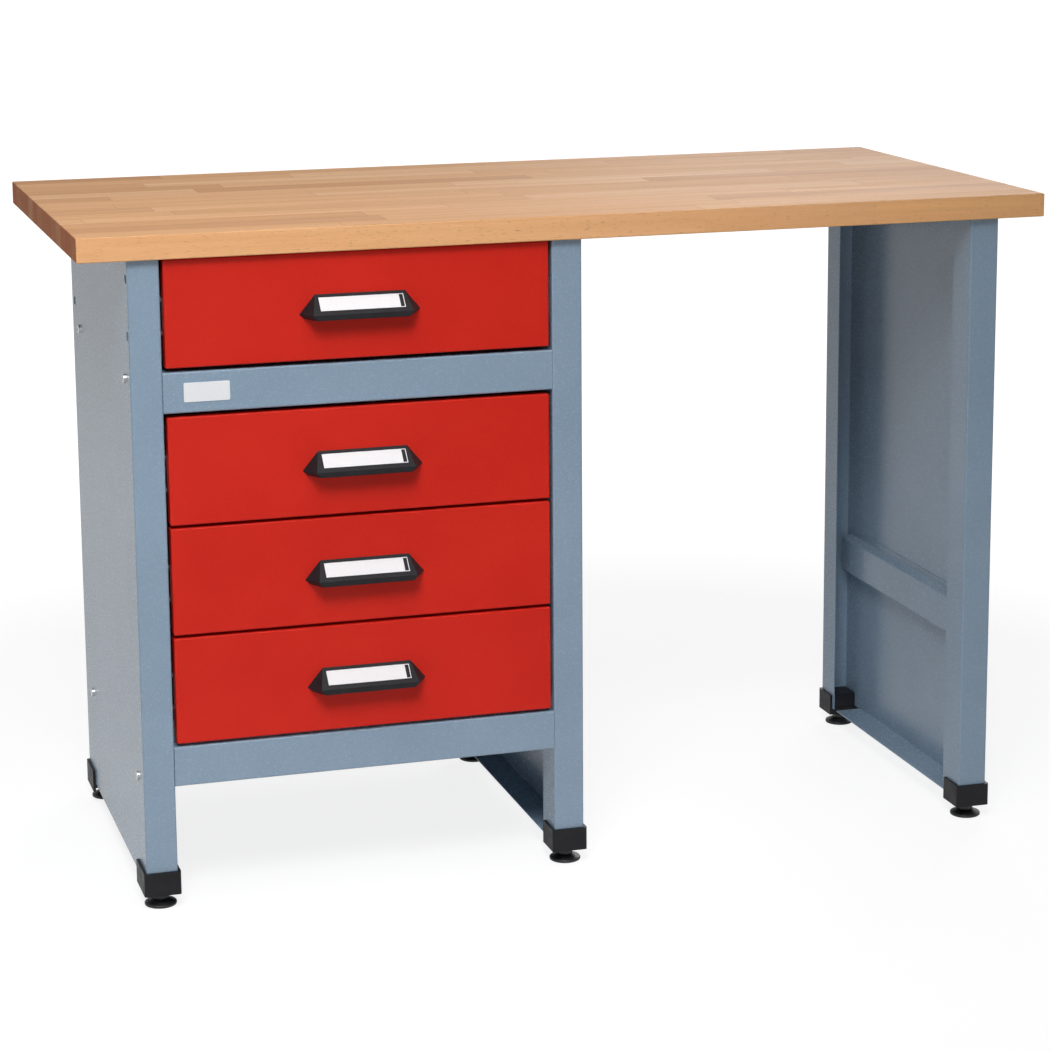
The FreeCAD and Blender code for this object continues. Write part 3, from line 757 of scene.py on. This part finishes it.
@dataclass
class LevellingFoot:
    """Round pad, hexagon and threaded stud of one levelling foot."""

    panel: Panel
    end: End
    pad_radius: float = 0.020
    pad_edge: float = 0.004
    pad_height: float = 0.009
    pad_rounding: float = 0.0009
    pad_lift_run: float = 0.0027
    hexagon: float = 0.017
    hexagon_height: float = 0.005
    hexagon_chamfer: float = 0.0006
    stud_radius: float = 0.005
    pitch: float = 0.0015
    thread_depth: float = 0.0009
    flank_shares: tuple[float, float, float] = (0.12, 0.44, 0.68)
    thread_steps: int = 20
    sunk_turns: int = 2
    bare_turns: int = 1
    turned_steps: int = 56
    rounding_steps: int = 3
    chamfer_steps: int = 2

    @property
    def node(self) -> str:
        """Name of the foot's node."""
        return f"{self.panel.value}_{self.end.value}_levelling_foot"

    def pad(self, mesh: bmesh.types.BMesh) -> None:
        """Turn the pad from its half section.

        Args:
            mesh: Mesh that takes the pad.
        """
        waist = self.hexagon / 2
        section = [
            (0.0, 0.0), (self.pad_radius - self.pad_lift_run, 0.0),
            (self.pad_radius, self.pad_rounding), (self.pad_radius, self.pad_edge),
            (waist, self.pad_height), (0.0, self.pad_height),
        ]
        points = [mesh.verts.new((radius, 0.0, height)) for radius, height in section]
        for pair in zip(points, points[1:]):
            mesh.edges.new(pair)
        bmesh.ops.bevel(
            mesh, geom=points[2:5], affect="VERTICES", offset=self.pad_rounding, offset_type="OFFSET",
            segments=self.rounding_steps, profile=0.5, material=-1,
        )
        bmesh.ops.spin(
            mesh, geom=mesh.verts[:] + mesh.edges[:], cent=(0, 0, 0), axis=(0, 0, 1), angle=math.tau,
            steps=self.turned_steps, use_merge=True,
        )

    def nut(self, mesh: bmesh.types.BMesh) -> None:
        """Add the hexagon that the foot is turned by.

        Args:
            mesh: Mesh that takes the hexagon.
        """
        corner = self.hexagon / math.sqrt(3)
        ring = bmesh.ops.create_circle(mesh, cap_ends=True, segments=6, radius=corner)["verts"]
        bmesh.ops.translate(mesh, vec=(0, 0, self.pad_height), verts=ring)
        base = ring[0].link_faces[0]
        top = bmesh.ops.extrude_face_region(mesh, geom=[base], use_keep_orig=True)["geom"]
        raised = [item for item in top if isinstance(item, bmesh.types.BMVert)]
        bmesh.ops.translate(mesh, vec=(0, 0, self.hexagon_height), verts=raised)
        rim = {edge for vert in raised for edge in vert.link_edges if edge.other_vert(vert) in raised}
        ease(mesh, rim, self.hexagon_chamfer, self.chamfer_steps)

    def stud(self, mesh: bmesh.types.BMesh, top: float) -> None:
        """Add the threaded stud, as one tooth wound up round the axis.

        Args:
            mesh: Mesh that takes the stud.
            top: Height of the stud's end.
        """
        root = self.stud_radius - self.thread_depth
        start = self.pad_height + self.hexagon_height - self.sunk_turns * self.pitch
        turns = int((top - start) / self.pitch) - self.bare_turns
        foot, crest, fall = self.flank_shares
        tip = self.stud_radius
        section = [(root, 0.0), (root, foot), (tip, crest), (tip, fall), (root, 1.0)]
        tooth = [mesh.verts.new((radius, 0.0, start + share * self.pitch)) for radius, share in section]
        edges = [mesh.edges.new(pair) for pair in zip(tooth, tooth[1:])]
        bmesh.ops.spin(
            mesh, geom=tooth + edges, cent=(0, 0, 0), axis=(0, 0, 1),
            dvec=(0, 0, self.pitch / self.thread_steps),
            angle=math.tau * turns, steps=turns * self.thread_steps,
        )

    def build(self, palette: Palette) -> None:
        """Model the foot over its node's place.

        Args:
            palette: Finishes of the bench.
        """
        low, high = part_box(self.node)
        mesh = bmesh.new()
        self.pad(mesh)
        self.nut(mesh)
        self.stud(mesh, high.z)
        bmesh.ops.remove_doubles(mesh, verts=mesh.verts, dist=MERGE)
        bmesh.ops.holes_fill(mesh, edges=[edge for edge in mesh.edges if edge.is_boundary], sides=0)
        bmesh.ops.recalc_face_normals(mesh, faces=mesh.faces)
        place = Vector(((low.x + high.x) / 2, (low.y + high.y) / 2, low.z))
        bmesh.ops.translate(mesh, vec=place, verts=mesh.verts)
        body = f"{self.panel.value}_{self.end.value}_foot"
        piece = make_piece(f"{self.panel.value}_{self.end.value}_threaded_foot", mesh, body)
        palette.dress(piece, Slot.FOOT)
        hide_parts(self.node)


@dataclass
class LabelHolder:
    """Card in a drawer handle and the edge of the clear cover over it, with that edge drawn in the white
    card finish as a painted highlight.
    """

    row: Row
    slope_rise: float = 0.0225
    slope_run: float = 0.0220
    card_gaps: tuple[float, float] = (0.0028, 0.0071)
    card_height: float = 0.0190
    card_thickness: float = 0.0005
    cover_gaps: tuple[float, float] = (0.0022, 0.0015)
    cover_height: float = 0.0202
    cover_edge: float = 0.0009
    cover_thickness: float = 0.0003

    @property
    def node(self) -> str:
        """Name of the card's node."""
        return f"{self.row.value}_drawer_label_card"

    def width(self, gaps: tuple[float, float]) -> float:
        """Width that two gaps at its ends leave of the node."""
        low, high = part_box(self.node)
        return high.x - low.x - sum(gaps)

    def lay(self, mesh: bmesh.types.BMesh, gaps: tuple[float, float], lift: float) -> None:
        """Lay a flat shape on the handle's slope.

        Args:
            mesh: Shape that lies flat round the origin.
            gaps: Room that it leaves at the left and right ends of the node.
            lift: Height of its middle over the middle of the card.
        """
        low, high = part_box(self.node)
        slope = math.atan2(self.slope_rise, self.slope_run)
        turn = Matrix.Rotation(slope, 4, "X")
        bmesh.ops.translate(mesh, vec=((gaps[0] - gaps[1]) / 2, 0, lift), verts=mesh.verts)
        bmesh.ops.transform(mesh, matrix=Matrix.Translation((low + high) / 2) @ turn, verts=mesh.verts)

    def build(self, palette: Palette) -> None:
        """Model the card and the cover's edge, which is painted white as a highlight.

        Args:
            palette: Finishes of the bench.
        """
        card = plate(self.width(self.card_gaps), self.card_height, self.card_thickness)
        self.lay(card, self.card_gaps, 0.0)
        body = f"{self.row.value}_drawer"
        piece = make_piece(f"{self.row.value}_drawer_card", card, body)
        palette.dress(piece, Slot.CARD)
        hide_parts(self.node)

        cover = bmesh.new()
        bmesh.ops.create_grid(cover, x_segments=1, y_segments=1, size=0.5)
        size = (self.width(self.cover_gaps), self.cover_height, 1)
        bmesh.ops.scale(cover, vec=size, verts=cover.verts)
        inner = list(cover.faces)
        bmesh.ops.inset_region(
            cover, faces=inner, thickness=self.cover_edge, use_boundary=True, use_even_offset=True,
        )
        bmesh.ops.delete(cover, geom=inner, context="FACES")
        bmesh.ops.solidify(cover, geom=cover.faces[:], thickness=self.cover_thickness)
        self.lay(cover, self.cover_gaps, self.card_thickness / 2 + self.cover_thickness)
        piece = make_piece(f"{self.row.value}_drawer_card_cover", cover, body)
        # The clear cover's edge takes the white card finish: a painted highlight standing in for the light
        # that its clear edge catches.
        palette.dress(piece, Slot.CARD)


@dataclass
class NamePlate:
    """Blank white plate at the left end of the upper crossbar."""

    centre_x: float = -0.473
    width: float = 0.056
    height: float = 0.0235
    thickness: float = 0.0008
    corner_radius: float = 0.0016
    corner_steps: int = 4
    rim_radius: float = 0.0002
    rim_steps: int = 2

    def build(self, palette: Palette) -> None:
        """Model the plate on the face of the crossbar.

        Args:
            palette: Finishes of the bench.
        """
        low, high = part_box("front_upper_crossbar")
        mesh = plate(self.width, self.thickness, self.height)
        corners = [edge for edge in mesh.edges if along(1, edge)]
        ease(mesh, corners, self.corner_radius, self.corner_steps)
        front = [face for face in mesh.faces if face.normal.y < -PARALLEL_SHARE]
        rim = {edge for face in front for edge in face.edges}
        ease(mesh, rim, self.rim_radius, self.rim_steps)
        place = Vector((self.centre_x, low.y - self.thickness / 2, (low.z + high.z) / 2))
        bmesh.ops.translate(mesh, vec=place, verts=mesh.verts)
        piece = make_piece("blank_plate", mesh, "bench_frame")
        palette.dress(piece, Slot.CARD)


@dataclass(frozen=True)
class Lamp:
    """Soft box lamp that looks at a point of the bench."""

    name: str
    place: Point
    target: Point
    width: float
    height: float
    power: float
    colour: Point = (1.0, 1.0, 1.0)
    spread: float = 180.0

    def build(self) -> None:
        """Hang the lamp."""
        light = bpy.data.lights.new(self.name, "AREA")
        light.shape = "RECTANGLE"
        light.size = self.width
        light.size_y = self.height
        light.energy = self.power
        light.color = self.colour
        light.spread = math.radians(self.spread)
        lamp = bpy.data.objects.new(self.name, light)
        lamp.location = self.place
        aim = Vector(self.target) - Vector(self.place)
        lamp.rotation_euler = aim.to_track_quat("-Z", "Y").to_euler()
        lamp.visible_camera = False
        bpy.context.scene.collection.objects.link(lamp)


@dataclass
class Studio:
    """White floor and backdrop, soft lamps and the camera."""

    floor_size: float = 40.0
    ambient: float = 0.08
    camera_place: Point = (-1.09375, -3.68974, 1.30620)
    camera_yaw: float = 16.691
    camera_pitch: float = -11.064
    camera_roll: float = -0.428
    sensor: float = 36.0
    lens: float = 99.93
    shift: float = -0.12
    lamps: tuple[Lamp, ...] = (
        Lamp(
            "key", place=(-1.0, -2.5, 2.9), target=(-0.45, -0.25, 0.05),
            width=1.2, height=1.2, power=9.9, spread=60.0,
        ),
        Lamp(
            "side", place=(-3.4, 0.5, 1.2), target=(-0.6, 0.0, 0.5),
            width=1.2, height=1.6, power=6.0,
        ),
        Lamp(
            "overhead", place=(-0.4, -1.1, 2.8), target=(0.0, 0.0, 0.8),
            width=2.0, height=1.6, power=20.5,
        ),
        Lamp(
            "front_fill", place=(-1.2, -4.2, 0.7), target=(-0.3, 0.0, 0.3),
            width=2.4, height=1.2, power=15.0, colour=(0.92, 0.98, 1.02),
        ),
        Lamp(
            "back_fill", place=(2.2, 3.2, 2.2), target=(0.0, 0.0, 0.4),
            width=2.4, height=2.4, power=65.0,
        ),
    )

    def floor(self) -> None:
        """Lay the floor."""
        mesh = bmesh.new()
        bmesh.ops.create_grid(mesh, x_segments=1, y_segments=1, size=self.floor_size / 2)
        data = bpy.data.meshes.new("floor")
        mesh.to_mesh(data)
        mesh.free()
        data.materials.append(WhiteFloor().material())
        floor = bpy.data.objects.new("floor", data)
        bpy.context.scene.collection.objects.link(floor)

    def backdrop(self) -> None:
        """Set a world that is white to the eye and dim as a light."""
        world = bpy.data.worlds.new("studio")
        world.use_nodes = True
        tree = Tree(world.node_tree)
        level = tree.span(tree.seen_directly(), self.ambient, 1.0, 0.0, 1.0)
        tree.feed(tree.nodes["Background"], {"Color": shade(1.0, 1.0, 1.0), "Strength": level})
        bpy.context.scene.world = world

    def camera(self) -> None:
        """Set the camera where the photograph was taken from."""
        data = bpy.data.cameras.new("camera")
        data.sensor_fit = "HORIZONTAL"
        data.sensor_width = self.sensor
        data.lens = self.lens
        data.shift_y = self.shift
        camera = bpy.data.objects.new("camera", data)
        upright = math.radians(90.0 + self.camera_pitch)
        turn = Euler((upright, 0.0, math.radians(-self.camera_yaw))).to_matrix()
        roll = Matrix.Rotation(math.radians(self.camera_roll), 3, "Z")
        camera.matrix_world = Matrix.Translation(self.camera_place) @ (turn @ roll).to_4x4()
        bpy.context.scene.collection.objects.link(camera)
        bpy.context.scene.camera = camera

    def build(self) -> None:
        """Set up the whole studio."""
        bpy.context.scene.view_settings.view_transform = "Standard"
        self.floor()
        self.backdrop()
        for lamp in self.lamps:
            lamp.build()
        self.camera()


def main() -> None:
    """Build and dress the bench, then light it."""
    logging.basicConfig(level=logging.INFO, format="%(name)s: %(message)s")
    palette = Palette()
    palette.dress_nodes()
    for panel in Panel:
        for end in End:
            FootCap(panel, end).build(palette)
            LevellingFoot(panel, end).build(palette)
    for row in Row:
        LabelHolder(row).build(palette)
    NamePlate().build(palette)
    Studio().build()


if __name__ == "__main__":
    main()
